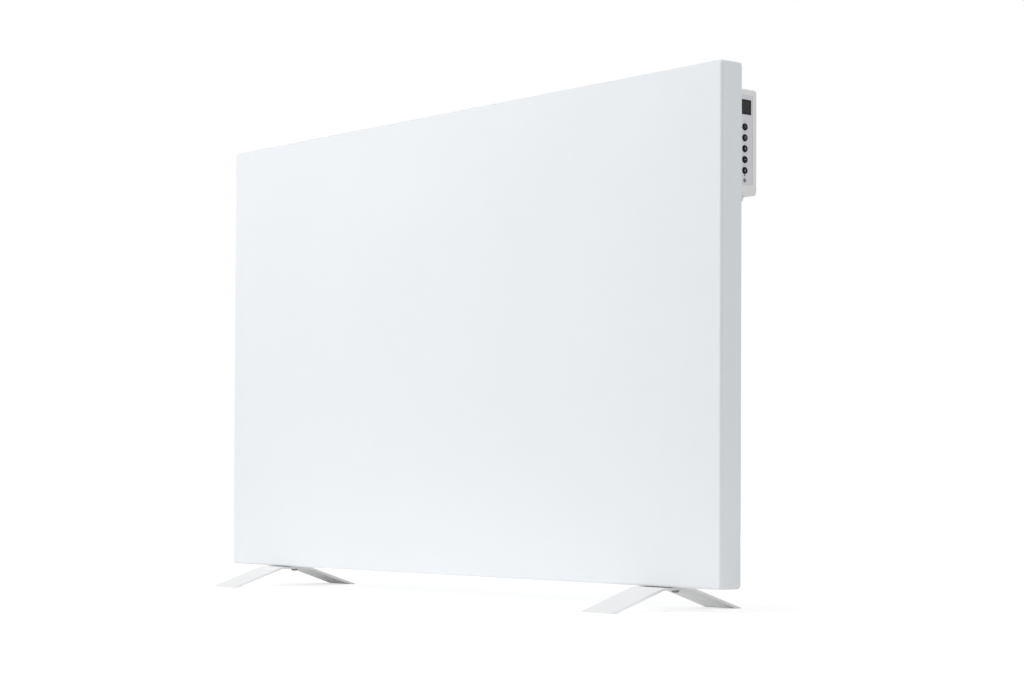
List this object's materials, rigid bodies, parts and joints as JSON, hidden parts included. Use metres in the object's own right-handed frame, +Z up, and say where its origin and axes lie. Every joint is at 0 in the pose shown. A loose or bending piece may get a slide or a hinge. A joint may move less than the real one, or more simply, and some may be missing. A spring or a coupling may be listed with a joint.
{
  "type": "wall panel convector heater",
  "caption": "Slim white steel panel heater with a vented back, a rear control box with push buttons and two bent strip feet.",
  "frame": {"origin": "on the floor, midway between the two feet and midway through the panel's depth", "axes": "+X along the panel's width towards the control box, +Y from the radiating front face to the back, +Z up"},
  "size_m": [1, 0.212, 0.628],
  "materials": {
    "white_powder_coat": "fine matt powder coat on folded steel",
    "zinc_steel": "zinc plated",
    "galvanised_steel": "galvanised sheet",
    "mat_film": "polyimide film over a printed track",
    "brass": "brass strip",
    "foil": "bright rolled foil",
    "mineral_wool": "pressed mineral fibre board",
    "ceramic": "glazed steatite",
    "lead_insulation": "silicone insulation",
    "black_rubber": "moulded rubber",
    "white_plastic": "finely textured moulding",
    "white_nylon": "satin nylon",
    "grey_label": "printed film, fine texture",
    "smoked_lens": "smoked acrylic",
    "black_button": "satin black with a pale printed symbol",
    "light_pipe": "frosted acrylic",
    "circuit_board": "glass-fibre board with solder mask",
    "dark_plastic": "moulded plastic"
  },
  "bodies": {
    "heater": {"front_tray": "white_powder_coat", "rear_cover": "white_powder_coat", "rear_cover_screws": "zinc_steel", "rail_left": "galvanised_steel", "rail_right": "galvanised_steel", "wall_rivet_nuts": "zinc_steel", "heating_mat": "mat_film", "element_tabs": "brass", "reflector_foil": "foil", "insulation_board": "mineral_wool", "thermal_cutout": "dark_plastic", "terminal_block": "ceramic", "element_leads": "lead_insulation", "supply_leads": "lead_insulation", "earth_lead": "lead_insulation", "earth_stud": "zinc_steel", "lead_grommet": "black_rubber", "foot_left": "white_powder_coat", "foot_right": "white_powder_coat", "foot_screws": "zinc_steel", "foot_rivet_nuts": "zinc_steel", "control_base": "white_plastic", "control_cover": "white_plastic", "base_screws": "zinc_steel", "cover_screws": "zinc_steel", "cable_gland": "white_nylon", "gland_nut": "white_nylon", "face_label": "grey_label", "display_window": "smoked_lens", "display_module": "dark_plastic", "tact_switches": "dark_plastic", "status_light": "light_pipe", "control_board": "circuit_board", "board_screws": "zinc_steel", "power_board": "circuit_board", "power_board_screws": "zinc_steel", "relay": "dark_plastic", "transformer": "dark_plastic", "capacitor": "dark_plastic", "supply_terminal": "white_nylon", "tilt_switch": "zinc_steel", "ribbon_cable": "lead_insulation", "room_sensor": "dark_plastic"},
    "push_1": {"button_1": "black_button", "plunger_1": "dark_plastic"},
    "push_2": {"button_2": "black_button", "plunger_2": "dark_plastic"},
    "push_3": {"button_3": "black_button", "plunger_3": "dark_plastic"},
    "push_4": {"button_4": "black_button", "plunger_4": "dark_plastic"},
    "push_5": {"button_5": "black_button", "plunger_5": "dark_plastic"}
  },
  "joints": [
    {"name": "press_1", "type": "slide", "parent": "heater", "child": "push_1", "axis": [-1, 0, 0], "range_m": [0, 0.0005], "stiffness_N_per_m": 3000},
    {"name": "press_2", "type": "slide", "parent": "heater", "child": "push_2", "axis": [-1, 0, 0], "range_m": [0, 0.0005], "stiffness_N_per_m": 3000},
    {"name": "press_3", "type": "slide", "parent": "heater", "child": "push_3", "axis": [-1, 0, 0], "range_m": [0, 0.0005], "stiffness_N_per_m": 3000},
    {"name": "press_4", "type": "slide", "parent": "heater", "child": "push_4", "axis": [-1, 0, 0], "range_m": [0, 0.0005], "stiffness_N_per_m": 3000},
    {"name": "press_5", "type": "slide", "parent": "heater", "child": "push_5", "axis": [-1, 0, 0], "range_m": [0, 0.0005], "stiffness_N_per_m": 3000}
  ]
}
